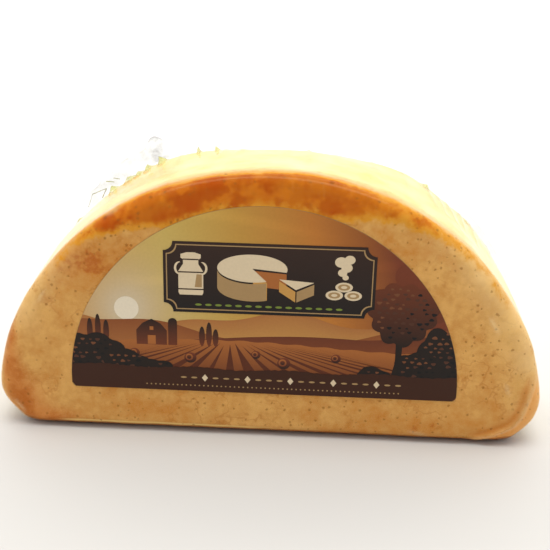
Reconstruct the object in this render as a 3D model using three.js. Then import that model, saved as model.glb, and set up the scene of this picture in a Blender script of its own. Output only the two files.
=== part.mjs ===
// A half wheel of smoked cheddar in a clear vacuum pack, standing on its flat side.
//
// The labelled face is a half disc. The film is drawn skin-tight over the face and the sides, so
// there it shares the cheese's own surface. It stands clear only at the back, where a second film
// covers the back face, is sealed to the first one, and reaches past the edge as a wavy rim.
//
// Millimetres, +Z up. X runs along the flat side, and the labelled face looks towards -Y. The
// origin is the middle of the whole pack's footprint, at the level that it stands on.

import * as THREE from 'three';

// Driving dimensions of the cheese
const FACE_WIDTH = 240; // across the labelled face, at its widest
const FACE_HEIGHT = 117; // from the flat side to the top of the arc
const THICKNESS = 62; // from the labelled face to the back
const ARC_CENTRE_HEIGHT = 5.5; // the arc's centre lies this far above the flat side
const CORNER_RADIUS = { left: 19, right: 20 }; // where the arc turns into the flat side
const SIDE_BULGE = 0.5; // how far the curved side swells between its two edges

// The two shoulders lie further out at the back than at the front. Angles in degrees from the top.
const SHOULDERS = { swell: 4.5, fullFrom: 27, fullTo: 45, goneAt: 85 };

// The front edge is rounded least along the flat side and most at the two lower corners.
const FRONT_ROUNDING = { top: 5.5, end: 8, leftCorner: 9.5, rightCorner: 9, flat: 2.2 };
const BACK_ROUNDING = 3.5;

// The flat side curls up off the ground towards the labelled face, over this depth. It fades out
// in the corners, as the outward normal turns up by this much.
const UNDERCUT = { height: 2.6, depth: 10, fade: 0.12 };

// A fold of film stands up round the right corner, where the face turns into the front edge.
const FOLD = { height: 0.9, from: -1.25, to: 0.05, fade: 0.25 }; // angles of the outward normal
const FOLD_SHARE = 0.04; // the fold dies away over this share of the way to the face's centre

// The surface is a little uneven, apart from the flat side and the patch under the label.
const UNEVENNESS = { face: 0.3, back: 0.5 };
const EVEN_MARGIN = 12; // the unevenness fades in over this distance from what has to stay flat

// The label, a half moon like the face
const LABEL_WIDTH = 166;
const LABEL_HEIGHT = 82.5;
const LABEL_ARC_CENTRE_HEIGHT = 3.4;
const LABEL_CORNER_RADIUS = 2;
const LABEL_LEVEL = 20.7; // its straight edge lies this far above the flat side
const LABEL_SHIFT = -1.8; // and its middle this far to the side of the cheese's own
const LABEL_THICKNESS = 0.4;

// The film over the back, and its rim
const FILM_THICKNESS = 0.7;
const RIM_WIDTH = 3.2; // measured outwards from the cheese
const RIM_FLARE = { extra: 5, at: 2.45, spread: 0.4 }; // it is wider round this angle, in radians
const RIM_WAVE = { height: 0.8, long: 21, short: 13 }; // of the free edge, to and fro
const GROUND_CLEARANCE = 0.2; // of the stretch of rim that lies along the ground

const GAP = 0.3; // between pieces that touch

// Into how many steps each stretch of an outline is divided
const CHEESE_STEPS = { arc: 84, corner: 10, flat: 14 };
const FILM_STEPS = { arc: 108, corner: 10, flat: 14 };
const LABEL_STEPS = { arc: 90, corner: 6, flat: 1 };

const CHEESE_COLOUR = 0xcf9a55;
const FILM_COLOUR = 0xeef2ee;
const LABEL_COLOUR = 0x5a3a2c;

const FRONT_Y = -THICKNESS / 2;
const BACK_Y = THICKNESS / 2;
const FACE_CENTRE = { x: 0, z: 0.42 * FACE_HEIGHT };

const { clamp, lerp, radToDeg, smoothstep } = THREE.MathUtils;
const blend = (share) => smoothstep(share, 0, 1); // from 0 to 1 as the share does, without a kink

// A rounded corner between the arc and the flat side, on the right: its circle's centre, where it
// leaves the arc, and which way it faces there
function cornerOf(radius, arcPoint, arcNormal) {
  let low = -Math.PI / 2;
  let high = Math.PI / 2;
  const centreAt = (t) => arcPoint(t).addScaledVector(arcNormal(t), -radius);
  while (high - low > 1e-9) {
    const t = (low + high) / 2;
    if (centreAt(t).y < radius) low = t;
    else high = t;
  }
  const facing = arcNormal(high);
  return { radius, leavesArc: high, centre: centreAt(high), facing: Math.atan2(facing.y, facing.x) };
}

// The outline of a half disc that stands on its flat side, which lies at height 0: an elliptical
// arc, two rounded corners and a straight line. It comes back as points in order, anticlockwise
// as seen from the front, each with its outward normal and how far along the outline it lies.
function halfDiscOutline(width, height, arcCentreHeight, cornerRadius, steps) {
  const a = width / 2;
  const b = height - arcCentreHeight;
  const arcPoint = (t) => new THREE.Vector2(a * Math.cos(t), arcCentreHeight + b * Math.sin(t));
  const arcNormal = (t) => new THREE.Vector2(Math.cos(t) / a, Math.sin(t) / b).normalize();
  const right = cornerOf(cornerRadius.right, arcPoint, arcNormal);
  const left = cornerOf(cornerRadius.left, arcPoint, arcNormal);
  const stretches = [
    {
      curve: new THREE.EllipseCurve(0, arcCentreHeight, a, b, right.leavesArc, Math.PI - left.leavesArc),
      steps: steps.arc,
    },
    {
      curve: new THREE.EllipseCurve(
        -left.centre.x, left.radius, left.radius, left.radius, Math.PI - left.facing, 1.5 * Math.PI,
      ),
      steps: steps.corner,
    },
    {
      curve: new THREE.LineCurve(new THREE.Vector2(-left.centre.x, 0), new THREE.Vector2(right.centre.x, 0)),
      steps: steps.flat,
    },
    {
      curve: new THREE.EllipseCurve(
        right.centre.x, right.radius, right.radius, right.radius, -Math.PI / 2, right.facing,
      ),
      steps: steps.corner,
    },
  ];
  let start = 0;
  return stretches.flatMap(({ curve, steps: count }) => {
    const length = curve.getLength();
    const points = Array.from({ length: count }, (_, i) => {
      const p = curve.getPointAt(i / count);
      const heading = curve.getTangentAt(i / count);
      return { x: p.x, z: p.y, nx: heading.y, nz: -heading.x, along: start + (length * i) / count };
    });
    start += length;
    return points;
  });
}

// A closed body of rings that follow an outline. A lathe with one profile point for each ring
// gives the faces, and place(point, ring) says where each vertex goes. The first and last rings
// are single points on the axis. Rings run from the back to the front.
function ringBody(outline, rings, place) {
  const last = rings.length - 1;
  const profile = rings.map((_, j) => new THREE.Vector2(j === 0 || j === last ? 0 : 1, j));
  const geometry = new THREE.LatheGeometry(profile, outline.length);
  const position = geometry.attributes.position;
  for (let i = 0; i <= outline.length; i++) {
    rings.forEach((ring, j) => {
      const v = place(outline[i % outline.length], ring);
      position.setXYZ(i * rings.length + j, v.x, v.y, v.z);
    });
  }
  geometry.deleteAttribute('uv');
  geometry.computeVertexNormals();
  return geometry;
}

// 0 on the flat side and 1 all round the arc, from a point's outward normal
const offFlatSide = (p) => blend((p.nz + 1) / 0.5);

// How far the outline lies further out at the back than at the front
function swell(p) {
  const { swell: most, fullFrom, fullTo, goneAt } = SHOULDERS;
  const fromTop = radToDeg(Math.acos(clamp(p.nz, -1, 1)));
  return most * blend(fromTop / fullFrom) * blend((goneAt - fromTop) / (goneAt - fullTo));
}

function frontRounding(p) {
  const { top, end, leftCorner, rightCorner, flat } = FRONT_ROUNDING;
  if (p.nz >= 0) return lerp(end, top, p.nz ** 2);
  const corner = p.nx < 0 ? leftCorner : rightCorner;
  const halfWay = (2 * p.nx * p.nz) ** 2; // 1 half way round the corner, 0 at its ends
  return lerp(lerp(end, flat, p.nz ** 2), corner, halfWay);
}

// How far the flat side lies off the ground at a place between the two faces
function undercut(p, y) {
  const share = clamp(1 - (y - FRONT_Y) / UNDERCUT.depth, 0, 1);
  const onFlatSide = 1 - blend((p.nz + 1) / UNDERCUT.fade);
  return UNDERCUT.height * onFlatSide * share ** 2;
}

// How far the surface stands proud of its true form at a place. It is even on the flat side and
// under the label.
function unevenness(x, y, z) {
  const waves =
    Math.sin(x / 17 + z / 23 + 0.6) * Math.cos(z / 14 - x / 31 + y / 16) +
    0.5 * Math.sin(x / 8.3 - z / 10.1 + y / 9 + 2.1) +
    0.4 * Math.cos(y / 7.5 + x / 19 - z / 13);
  const fromLabel = Math.hypot(x - LABEL_SHIFT, z - LABEL_LEVEL) - LABEL_WIDTH / 2;
  const margin = Math.max(fromLabel, LABEL_LEVEL - z, y - FRONT_Y - 1);
  const height = lerp(UNEVENNESS.face, UNEVENNESS.back, (y - FRONT_Y) / THICKNESS);
  return height * waves * blend(z / EVEN_MARGIN) * blend(margin / EVEN_MARGIN);
}

// How high the fold stands at a point of the outline
function foldHeight(p) {
  const angle = Math.atan2(p.nz, p.nx);
  return FOLD.height * blend((angle - FOLD.from) / FOLD.fade) * blend((FOLD.to - angle) / FOLD.fade);
}

// A point that lies so far outwards from a point of the front outline
const outFrom = (p, distance) => ({ x: p.x + p.nx * distance, z: p.z + p.nz * distance });

const towardsCentre = (q, share) => ({
  x: lerp(q.x, FACE_CENTRE.x, share),
  z: lerp(q.z, FACE_CENTRE.z, share),
});

// Where the stretches of the cheese's section lie at a point of the outline, and which way each
// faces. t runs from 0 to 1 along each, and the whole section from the back's centre to the face's.
const SECTION = {
  back: (p, t) => ({
    ...towardsCentre(outFrom(p, swell(p) - BACK_ROUNDING), 1 - t),
    y: BACK_Y,
    normal: new THREE.Vector3(0, 1, 0),
  }),
  backEdge: (p, t) => {
    const sin = Math.sin((t * Math.PI) / 2);
    const cos = Math.cos((t * Math.PI) / 2);
    return {
      ...outFrom(p, swell(p) - BACK_ROUNDING * (1 - sin)),
      y: BACK_Y - BACK_ROUNDING * (1 - cos),
      normal: new THREE.Vector3(p.nx * sin, cos, p.nz * sin),
    };
  },
  side: (p, t) => {
    const y = lerp(BACK_Y - BACK_ROUNDING, FRONT_Y + frontRounding(p), t);
    const bulge = SIDE_BULGE * Math.sin(t * Math.PI) * offFlatSide(p);
    return {
      ...outFrom(p, swell(p) * (1 - t) + bulge - undercut(p, y)),
      y,
      normal: new THREE.Vector3(p.nx, 0, p.nz),
    };
  },
  frontEdge: (p, t) => {
    const round = frontRounding(p);
    const sin = Math.sin((t * Math.PI) / 2);
    const cos = Math.cos((t * Math.PI) / 2);
    const y = FRONT_Y + round * (1 - sin);
    return {
      ...outFrom(p, -round * (1 - cos) - undercut(p, y)),
      y,
      normal: new THREE.Vector3(p.nx * cos, -sin, p.nz * cos),
      fold: t === 1 ? foldHeight(p) : 0,
    };
  },
  face: (p, t) => ({
    ...towardsCentre(outFrom(p, -frontRounding(p) - undercut(p, FRONT_Y)), t),
    y: FRONT_Y,
    normal: new THREE.Vector3(0, -1, 0),
  }),
};

const evenSteps = (stretch, count) =>
  Array.from({ length: count }, (_, k) => ({ stretch, t: (k + 1) / count }));

const CHEESE_RINGS = [
  { stretch: 'back', t: 0 },
  ...evenSteps('back', 5),
  ...evenSteps('backEdge', 3),
  ...evenSteps('side', 8),
  ...evenSteps('frontEdge', 6),
  { stretch: 'face', t: FOLD_SHARE },
  ...evenSteps('face', 9),
];

function makeCheese() {
  const outline = halfDiscOutline(FACE_WIDTH, FACE_HEIGHT, ARC_CENTRE_HEIGHT, CORNER_RADIUS, CHEESE_STEPS);
  const place = (p, { stretch, t }) => {
    const { x, y, z, normal, fold = 0 } = SECTION[stretch](p, t);
    return new THREE.Vector3(x, y, z).addScaledVector(normal, unevenness(x, y, z) + fold);
  };
  const material = new THREE.MeshStandardMaterial({ color: CHEESE_COLOUR, roughness: 0.35, metalness: 0 });
  const mesh = new THREE.Mesh(ringBody(outline, CHEESE_RINGS, place), material);
  mesh.name = 'cheese';
  return mesh;
}

// Places on the film, as distances outwards from the back's outline: null is the centre, negative
// numbers lie over the back face, and shares from 0 to 1 cross the rim.
const FILM_PLACES = [
  null,
  { over: 3 * BACK_ROUNDING },
  { over: BACK_ROUNDING },
  { rim: 0 },
  { rim: 0.25 },
  { rim: 0.5 },
  { rim: 0.75 },
  { rim: 1 },
];

const FILM_RINGS = [
  ...FILM_PLACES.map((at) => ({ at, outer: true })),
  ...FILM_PLACES.toReversed().map((at) => ({ at, outer: false })),
];

// The film's section lies flat behind the cheese and goes on outwards as the rim. Where it comes
// down to the ground it turns backwards and lies along it.
function makeBackFilm() {
  const outline = halfDiscOutline(FACE_WIDTH, FACE_HEIGHT, ARC_CENTRE_HEIGHT, CORNER_RADIUS, FILM_STEPS);
  const filmY = BACK_Y + 2 * UNEVENNESS.back + GAP; // clear of the uneven back face
  const place = (p, { at, outer }) => {
    const thickness = outer ? FILM_THICKNESS : 0;
    if (at === null) return new THREE.Vector3(FACE_CENTRE.x, filmY + thickness, FACE_CENTRE.z);
    const edge = outFrom(p, swell(p));
    const angle = Math.atan2(p.z - FACE_CENTRE.z, p.x);
    const flare = Math.exp(-(((angle - RIM_FLARE.at) / RIM_FLARE.spread) ** 2));
    const share = at.rim ?? 0;
    const distance = 'over' in at ? -at.over : share * (RIM_WIDTH + RIM_FLARE.extra * flare);
    const room = p.nz < 0 ? (edge.z - GROUND_CLEARANCE) / -p.nz : Infinity;
    const outwards = Math.min(distance, room);
    const backwards = distance - outwards;
    const turned = blend(backwards / FILM_THICKNESS); // 1 where the film lies along the ground
    const turns = 2 * Math.PI * p.along;
    const ripple = Math.sin(turns / RIM_WAVE.long) + 0.6 * Math.sin(turns / RIM_WAVE.short + 1);
    const wave = RIM_WAVE.height * (1 + flare) * ripple * share ** 2 * blend(p.nz / 0.3);
    return new THREE.Vector3(
      edge.x + p.nx * (outwards - thickness * turned),
      filmY + thickness * (1 - turned) + backwards + wave,
      Math.max(edge.z + p.nz * (outwards - thickness * turned), GROUND_CLEARANCE),
    );
  };
  const material = new THREE.MeshStandardMaterial({
    color: FILM_COLOUR,
    roughness: 0.12,
    metalness: 0,
    transparent: true,
    opacity: 0.35,
  });
  const mesh = new THREE.Mesh(ringBody(outline, FILM_RINGS, place), material);
  mesh.name = 'back_film';
  return mesh;
}

function makeLabel() {
  const corners = { left: LABEL_CORNER_RADIUS, right: LABEL_CORNER_RADIUS };
  const outline = halfDiscOutline(LABEL_WIDTH, LABEL_HEIGHT, LABEL_ARC_CENTRE_HEIGHT, corners, LABEL_STEPS);
  const shape = new THREE.Shape(outline.map((p) => new THREE.Vector2(p.x, p.z)));
  const geometry = new THREE.ExtrudeGeometry(shape, { depth: LABEL_THICKNESS, bevelEnabled: false });
  const material = new THREE.MeshStandardMaterial({ color: LABEL_COLOUR, roughness: 0.4, metalness: 0 });
  const mesh = new THREE.Mesh(geometry, material);
  mesh.name = 'label';
  mesh.rotation.x = Math.PI / 2;
  mesh.position.set(LABEL_SHIFT, FRONT_Y - GAP, LABEL_LEVEL);
  return mesh;
}

const pack = new THREE.Group();
pack.add(makeCheese(), makeBackFilm(), makeLabel());

// The origin goes to the middle of the footprint.
const extent = new THREE.Box3().setFromObject(pack);
const middle = extent.getCenter(new THREE.Vector3());
pack.position.set(-middle.x, -middle.y, -extent.min.z);

const model = new THREE.Group();
model.add(pack);

export default model;
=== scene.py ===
"""A half wheel of smoked cheddar in tight clear film, standing on its flat side.

Shapes are worked out in millimetres, in the frame that the solids were drawn in: x along the
flat side, with 0 in the middle of the face, y from the face to the back, with 0 half way
through, and z up from the ground. to_row() turns them into the row's frame, in metres.
"""
import math
import random

import bpy
import numpy as np
from mathutils import Matrix, Vector, noise
from mathutils.geometry import tessellate_polygon


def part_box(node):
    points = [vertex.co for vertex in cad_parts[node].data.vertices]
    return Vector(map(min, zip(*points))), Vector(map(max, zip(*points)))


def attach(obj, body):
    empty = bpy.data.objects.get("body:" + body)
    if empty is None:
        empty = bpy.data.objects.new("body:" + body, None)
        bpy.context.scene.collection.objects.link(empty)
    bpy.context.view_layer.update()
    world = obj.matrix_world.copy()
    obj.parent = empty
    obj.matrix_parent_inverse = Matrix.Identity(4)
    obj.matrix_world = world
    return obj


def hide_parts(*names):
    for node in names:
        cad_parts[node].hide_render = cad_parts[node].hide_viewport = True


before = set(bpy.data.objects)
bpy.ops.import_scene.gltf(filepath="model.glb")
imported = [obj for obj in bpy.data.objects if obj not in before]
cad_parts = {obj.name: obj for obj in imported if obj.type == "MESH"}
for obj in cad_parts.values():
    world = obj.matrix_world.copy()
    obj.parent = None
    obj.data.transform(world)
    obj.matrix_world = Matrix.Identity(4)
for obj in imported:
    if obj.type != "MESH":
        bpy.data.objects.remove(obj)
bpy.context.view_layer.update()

MM = 0.001

# Sizes in millimetres, which the solids have too
FACE_WIDTH = 240
FACE_HEIGHT = 117
THICKNESS = 62
ARC_CENTRE_HEIGHT = 5.5
CORNER_RADIUS = {"left": 19, "right": 20}
SIDE_BULGE = 0.5
SWELL = {"most": 4.5, "full_from": 27, "full_to": 45, "gone_at": 85}  # degrees from the top
FRONT_ROUNDING = {"top": 5.5, "end": 8, "left_corner": 9.5, "right_corner": 9, "flat": 2.2}
BACK_ROUNDING = 3.5
FOLD_HEIGHT = 0.9
UNEVENNESS = {"face": 0.3, "back": 0.5}
EVEN_MARGIN = 12
LABEL_WIDTH = 166
LABEL_HEIGHT = 82.5
LABEL_ARC_CENTRE_HEIGHT = 3.4
LABEL_CORNER_RADIUS = 2
LABEL_LEVEL = 20.7
LABEL_SHIFT = -1.8
RIM_WIDTH = 3.2
RIM_FLARE = {"extra": 5, "at": 2.45, "spread": 0.4}
GROUND_CLEARANCE = 0.2
GAP = 0.3
# The flat side lifts towards the face, by 0.7 more than in the solids: its shadow is as tall as
# in the photograph
UNDERCUT = {"height": 3.3, "depth": 10, "fade": 0.12}

FRONT_Y = -THICKNESS / 2
BACK_Y = THICKNESS / 2
FACE_CENTRE = (0, 0.42 * FACE_HEIGHT)
ARC_HEIGHT = FACE_HEIGHT - ARC_CENTRE_HEIGHT

# Where the drawing's origin lies in the row's frame, from the label's place there
label_low, label_high = (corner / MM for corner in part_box("label"))
ORIGIN = np.array(
    [
        (label_low.x + label_high.x) / 2 - LABEL_SHIFT,
        label_high.y - FRONT_Y + GAP,
        label_low.z - LABEL_LEVEL,
    ]
)


def to_row(points):
    """Points of the drawing, in millimetres, as metres in the row's frame."""
    return (np.asarray(points, float) + ORIGIN) * MM


def lerp(a, b, share):
    return a + (b - a) * share


def ease(share):
    """From 0 to 1 as the share does, without a kink."""
    share = np.clip(share, 0, 1)
    return share * share * (3 - 2 * share)


def window(value, start, rise, end, fall):
    """Up from 0 at start over the rise, and down to 0 at end over the fall, without a kink."""
    return ease((value - start) / rise) * ease((end - value) / fall)


def bell(away, half_width):
    """1 where away is 0, and less on both sides of it."""
    return np.exp(-((away / half_width) ** 2))


def lumps(points, size, seed):
    """Smooth noise from about -1 to 1 at each point, with lumps of the given size."""
    shift = Vector((seed * 13.7, seed * 7.1, seed * 3.3))
    return np.array([noise.noise(Vector(p) / size + shift) for p in points])


# ---------------------------------------------------------------- camera


def add_camera():
    """The photograph's camera, from a fit to the outlines of the face and the label."""
    place = to_row([(16.3, FRONT_Y - 314.4, 173.1)])[0]
    yaw, pitch, roll = (math.radians(angle) for angle in (2.5, 17.4, 1.3))
    focal_pixels = 800
    picture_pixels = 550
    data = bpy.data.cameras.new("camera")
    data.sensor_width = 36
    data.lens = data.sensor_width * focal_pixels / picture_pixels
    data.clip_start = 0.01
    data.clip_end = 100
    camera = bpy.data.objects.new("camera", data)
    turn = (
        Matrix.Rotation(yaw, 4, "Z")
        @ Matrix.Rotation(math.pi / 2 - pitch, 4, "X")
        @ Matrix.Rotation(roll, 4, "Z")
    )
    camera.matrix_world = Matrix.Translation(place) @ turn
    bpy.context.scene.collection.objects.link(camera)
    bpy.context.scene.camera = camera


# ---------------------------------------------------------------- shape


class Outline:
    """Points round a half disc on its flat side, anticlockwise from the front, with normals."""

    def __init__(self, width, height, centre_height, radius, steps):
        a = width / 2
        b = height - centre_height
        right = corner_of(radius["right"], a, b, centre_height)
        left = corner_of(radius["left"], a, b, centre_height)
        quarter = math.pi / 2
        stretches = [
            arc(0, centre_height, a, b, right["leaves"], math.pi - left["leaves"], steps["arc"]),
            arc(-left["centre"], left["radius"], left["radius"], left["radius"],
                math.pi - left["facing"], 3 * quarter, steps["corner"]),
            line(-left["centre"], right["centre"], steps["flat"]),
            arc(right["centre"], right["radius"], right["radius"], right["radius"],
                -quarter, right["facing"], steps["corner"]),
        ]
        self.x, self.z, self.nx, self.nz = np.concatenate(stretches, axis=1)
        gaps = np.hypot(np.diff(self.x, append=self.x[0]), np.diff(self.z, append=self.z[0]))
        self.along = np.cumsum(gaps) - gaps
        self.count = len(self.x)


def corner_of(radius, a, b, centre_height):
    """The circle that turns the arc into the flat side, for the corner on the right."""
    low, high = -math.pi / 2, math.pi / 2
    while high - low > 1e-9:
        t = (low + high) / 2
        nx, nz = math.cos(t) / a, math.sin(t) / b
        length = math.hypot(nx, nz)
        if centre_height + b * math.sin(t) - radius * nz / length < radius:
            low = t
        else:
            high = t
    centre = a * math.cos(high) - radius * nx / length
    return {"radius": radius, "leaves": high, "centre": centre, "facing": math.atan2(nz, nx)}


def arc(cx, cz, a, b, start, end, steps):
    """Evenly spaced points of an elliptical arc, without its end, and their normals."""
    fine = np.linspace(start, end, 40 * steps)
    lengths = np.hypot(np.diff(a * np.cos(fine)), np.diff(b * np.sin(fine)))
    so_far = np.concatenate([[0], np.cumsum(lengths)])
    t = np.interp(np.arange(steps) / steps * so_far[-1], so_far, fine)
    nx, nz = np.cos(t) / a, np.sin(t) / b
    length = np.hypot(nx, nz)
    return np.array([cx + a * np.cos(t), cz + b * np.sin(t), nx / length, nz / length])


def line(start, end, steps):
    x = lerp(start, end, np.arange(steps) / steps)
    return np.array([x, np.zeros(steps), np.zeros(steps), -np.ones(steps)])


def swell(nz):
    """How far the outline lies further out at the back than at the front, from its normal's z."""
    from_top = np.degrees(np.arccos(np.clip(nz, -1, 1)))
    gone_at = SWELL["gone_at"]
    return SWELL["most"] * window(from_top, 0, SWELL["full_from"], gone_at, gone_at - SWELL["full_to"])


def front_rounding(p):
    size = FRONT_ROUNDING
    upper = lerp(size["end"], size["top"], p.nz**2)
    corner = np.where(p.nx < 0, size["left_corner"], size["right_corner"])
    half_way = (2 * p.nx * p.nz) ** 2
    lower = lerp(lerp(size["end"], size["flat"], p.nz**2), corner, half_way)
    return np.where(p.nz >= 0, upper, lower)


def undercut(p, y):
    """How far the flat side lies off the ground, from how close it is to the front."""
    from_end = np.clip(1 - (y - FRONT_Y) / UNDERCUT["depth"], 0, 1)
    on_flat_side = 1 - ease((p.nz + 1) / UNDERCUT["fade"])
    return UNDERCUT["height"] * on_flat_side * from_end**2


def unevenness(x, y, z):
    """How far the cheese stands proud of its true form, with none under the label."""
    waves = (
        np.sin(x / 17 + z / 23 + 0.6) * np.cos(z / 14 - x / 31 + y / 16)
        + 0.5 * np.sin(x / 8.3 - z / 10.1 + y / 9 + 2.1)
        + 0.4 * np.cos(y / 7.5 + x / 19 - z / 13)
    )
    from_label = np.hypot(x - LABEL_SHIFT, z - LABEL_LEVEL) - LABEL_WIDTH / 2
    margin = np.maximum(np.maximum(from_label, LABEL_LEVEL - z), y - FRONT_Y - 1)
    height = lerp(UNEVENNESS["face"], UNEVENNESS["back"], (y - FRONT_Y) / THICKNESS)
    return height * waves * ease(z / EVEN_MARGIN) * ease(margin / EVEN_MARGIN)


def section(p, stretch, t):
    """One ring of the cheese's section: places and outward normals."""
    swollen = swell(p.nz)
    rounding = front_rounding(p)
    ones = np.ones(p.count)
    turn = t * math.pi / 2
    sin, cos = math.sin(turn), math.cos(turn)
    share = 0
    if stretch == "back":
        out, share, y, radial, axial = swollen - BACK_ROUNDING, 1 - t, BACK_Y * ones, 0, 1
    elif stretch == "back_edge":
        out = swollen - BACK_ROUNDING * (1 - sin)
        y, radial, axial = (BACK_Y - BACK_ROUNDING * (1 - cos)) * ones, sin, cos
    elif stretch == "side":
        y, radial, axial = lerp(BACK_Y - BACK_ROUNDING, FRONT_Y + rounding, t), 1, 0
        off_flat_side = ease((p.nz + 1) / 0.5)
        out = swollen * (1 - t) + SIDE_BULGE * math.sin(t * math.pi) * off_flat_side
        out = out - undercut(p, y)
    elif stretch == "front_edge":
        y, radial, axial = FRONT_Y + rounding * (1 - sin), cos, -sin
        out = -rounding * (1 - cos) - undercut(p, y)
    else:
        out, share, y, radial, axial = -rounding - undercut(p, FRONT_Y), t, FRONT_Y * ones, 0, -1
    x = lerp(p.x + p.nx * out, FACE_CENTRE[0], share)
    z = lerp(p.z + p.nz * out, FACE_CENTRE[1], share)
    places = np.stack([x, y, z], axis=1)
    normals = np.stack([p.nx * radial, axial * ones, p.nz * radial], axis=1)
    return places, normals


def even(stretch, count, end=1.0, start=0.0):
    """Rings spaced evenly over part of a stretch, without the one at its start."""
    return [(stretch, lerp(start, end, (k + 1) / count)) for k in range(count)]


def ring_faces(rings, count, closed_start, closed_end):
    """Faces over rings of points. A closed end has one more point, the middle of a fan."""
    first = 1 if closed_start else 0
    ids = first + np.arange(rings * count).reshape(rings, count)
    ahead = np.roll(ids, -1, axis=1)
    quads = np.stack([ids[:-1], ahead[:-1], ahead[1:], ids[1:]], axis=-1).reshape(-1, 4).tolist()
    fans = []
    if closed_start:
        fans += [(0, int(b), int(a)) for a, b in zip(ids[0], ahead[0])]
    if closed_end:
        middle = first + rings * count
        fans += [(middle, int(a), int(b)) for a, b in zip(ids[-1], ahead[-1])]
    return quads + fans


def grid_faces(rows, columns, first=0):
    """Faces between rows of points, of which the first point has the number first."""
    corners = (first + row * columns + k for row in range(rows - 1) for k in range(columns - 1))
    return [(a, a + 1, a + 1 + columns, a + columns) for a in corners]


def add_piece(name, points, faces, material, fields=None, flat=False):
    """A mesh object from points in millimetres, with named numbers for its points."""
    mesh = bpy.data.meshes.new(name)
    mesh.from_pydata(to_row(points).tolist(), [], faces)
    mesh.materials.append(material)
    mesh.polygons.foreach_set("use_smooth", [not flat] * len(mesh.polygons))
    for field, values in (fields or {}).items():
        attribute = mesh.attributes.new(field, "FLOAT", "POINT")
        attribute.data.foreach_set("value", np.asarray(values, float))
    mesh.validate()
    piece = bpy.data.objects.new(name, mesh)
    bpy.context.scene.collection.objects.link(piece)
    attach(piece, "root")
    return piece


# ---------------------------------------------------------------- materials


def linear(red, green, blue):
    """The linear colour of an sRGB colour in steps of 0 to 255."""
    def one(step):
        share = step / 255
        return share / 12.92 if share <= 0.04045 else ((share + 0.055) / 1.055) ** 2.4

    return tuple(one(step) for step in (red, green, blue))


FACE_LIGHT = 0.78  # how much light a white surface on the face sends back in this scene


def seen(red, green, blue):
    """The surface colour that looks like this sRGB colour on the face."""
    return tuple(min(channel / FACE_LIGHT, 1) for channel in linear(red, green, blue)) + (1,)


class Graph:
    """Builds the nodes of a material or world. An input is a number, a colour or another output."""

    def __init__(self, name, owners=bpy.data.materials):
        self.owner = owners.new(name)
        self.owner.use_nodes = True
        self.tree = self.owner.node_tree
        self.tree.nodes.clear()
        self.coordinates = self.node("ShaderNodeTexCoord").outputs
        self.place = self.coordinates["Object"]

    def node(self, kind, inputs=None, **settings):
        node = self.tree.nodes.new(kind)
        for key, value in settings.items():
            setattr(node, key, value)
        for key, value in (inputs or {}).items():
            if isinstance(value, bpy.types.NodeSocket):
                self.tree.links.new(value, node.inputs[key])
            else:
                node.inputs[key].default_value = value
        return node

    def math(self, operation, a, b=0.0, c=0.0, clamp=False):
        inputs = {0: a, 1: b, 2: c}
        return self.node("ShaderNodeMath", inputs, operation=operation, use_clamp=clamp).outputs[0]

    def times(self, a, b, plus=0.0):
        return self.math("MULTIPLY_ADD", a, b, plus)

    def range(self, value, low, high, to_low=0.0, to_high=1.0):
        """The value's way from low to high, eased."""
        inputs = {"Value": value, 1: low, 2: high, 3: to_low, 4: to_high}
        return self.node("ShaderNodeMapRange", inputs, interpolation_type="SMOOTHSTEP").outputs[0]

    def noise(self, size, detail=2.0, roughness=0.5, shift=0.0, stretch=(1, 1, 1)):
        """Noise with lumps of the given size in millimetres, around 0.5."""
        moving = {"Vector": self.place, "Location": (shift, shift / 2, shift / 3), "Scale": stretch}
        moved = self.node("ShaderNodeMapping", moving).outputs[0]
        inputs = {"Vector": moved, "Scale": 1 / (size * MM), "Detail": detail, "Roughness": roughness}
        return self.node("ShaderNodeTexNoise", inputs).outputs["Fac"]

    def field(self, name):
        return self.node("ShaderNodeAttribute", attribute_name=name).outputs["Fac"]

    def slant(self):
        """From 0 where the surface is seen square on, to 1 where it is seen edge on."""
        return self.node("ShaderNodeLayerWeight", {"Blend": 0.5}).outputs["Facing"]

    def mix(self, factor, a, b, blend="MIX"):
        inputs = {"Factor": factor, 6: a, 7: b}
        return self.node("ShaderNodeMix", inputs, data_type="RGBA", blend_type=blend).outputs[2]

    def tint(self, base, colour, amount, most=1.0):
        """The base with a colour laid over it, as strong as the amount times the most."""
        return self.mix(self.times(amount, most), base, colour)

    def ramp(self, factor, stops):
        ramp = self.node("ShaderNodeValToRGB", {"Fac": factor})
        elements = ramp.color_ramp.elements
        while len(elements) < len(stops):
            elements.new(0.5)
        for element, (position, colour) in zip(elements, stops):
            element.position = position
            element.color = colour
        return ramp.outputs["Color"]

    def bump(self, height, distance, strength=1.0):
        """Relief from a height of 0 to 1, in millimetres."""
        inputs = {"Height": height, "Distance": distance * MM, "Strength": strength}
        return self.node("ShaderNodeBump", inputs).outputs[0]

    def finish(self, **inputs):
        """The surface shader. Its inputs are named as in Blender, with _ for each space."""
        named = {key.replace("_", " "): value for key, value in inputs.items()}
        shader = self.node("ShaderNodeBsdfPrincipled", named)
        self.node("ShaderNodeOutputMaterial", {"Surface": shader.outputs[0]})
        return self.owner


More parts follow.
